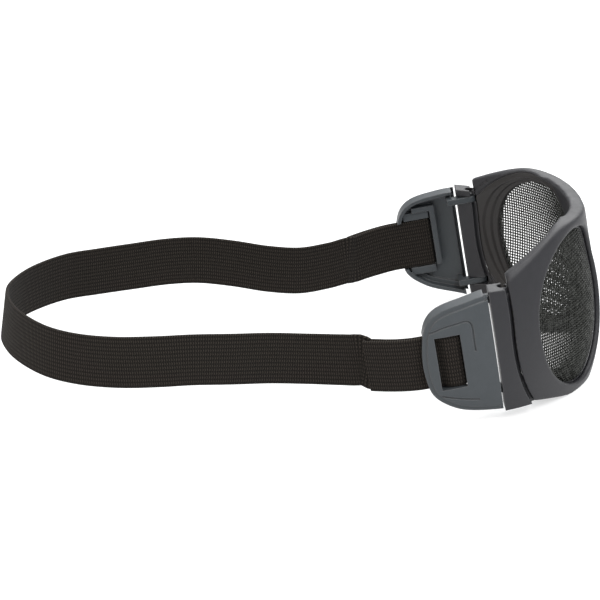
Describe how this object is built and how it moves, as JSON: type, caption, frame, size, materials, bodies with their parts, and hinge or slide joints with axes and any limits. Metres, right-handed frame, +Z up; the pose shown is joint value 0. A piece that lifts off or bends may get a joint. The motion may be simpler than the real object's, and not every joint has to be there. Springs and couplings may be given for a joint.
{
  "type": "mesh safety glasses",
  "caption": "Wrap-round safety glasses with woven steel mesh lenses, hinged side brackets and an elastic head strap.",
  "frame": {"origin": "middle of the overall length and width, on the level of the frame's lowest flats", "axes": "+X to the wearer's left, -Y to the front, +Z up as worn"},
  "size_m": [0.1538, 0.2846, 0.0822],
  "materials": {
    "frame_plastic": "fine satin mould finish, near black",
    "bracket_plastic": "fine satin mould finish, dark slate grey",
    "pin_plastic": "plain moulded, near black",
    "mesh_steel": "woven wire, blackened with bright crowns",
    "hem_metal": "folded strip, black",
    "strap_webbing": "ribbed elastic webbing, black"
  },
  "bodies": {
    "face_body": {"front_frame": "frame_plastic", "lens_hem_left": "hem_metal", "lens_mesh_left": "mesh_steel", "lens_retainer_left": "frame_plastic", "hinge_wing_left": "frame_plastic", "hinge_pin_upper_left": "pin_plastic", "hinge_pin_lower_left": "pin_plastic", "lens_hem_right": "hem_metal", "lens_mesh_right": "mesh_steel", "lens_retainer_right": "frame_plastic", "hinge_wing_right": "frame_plastic", "hinge_pin_upper_right": "pin_plastic", "hinge_pin_lower_right": "pin_plastic", "strap_loop": "strap_webbing"},
    "bracket_left": {"strap_bracket_left": "bracket_plastic", "strap_bar_left": "bracket_plastic", "strap_wrap_left": "strap_webbing"},
    "bracket_right": {"strap_bracket_right": "bracket_plastic", "strap_bar_right": "bracket_plastic", "strap_wrap_right": "strap_webbing"}
  },
  "joints": [
    {"name": "bracket_left_hinge", "type": "hinge", "parent": "face_body", "child": "bracket_left", "pos_m": [0.0638, -0.09142, 0.03512], "axis": [0, 0.1754, 0.9845], "range_deg": [-15, 25], "deforming": ["strap_loop"]},
    {"name": "bracket_right_hinge", "type": "hinge", "parent": "face_body", "child": "bracket_right", "pos_m": [-0.0638, -0.09142, 0.03512], "axis": [0, 0.1754, 0.9845], "range_deg": [-25, 15], "deforming": ["strap_loop"]}
  ]
}
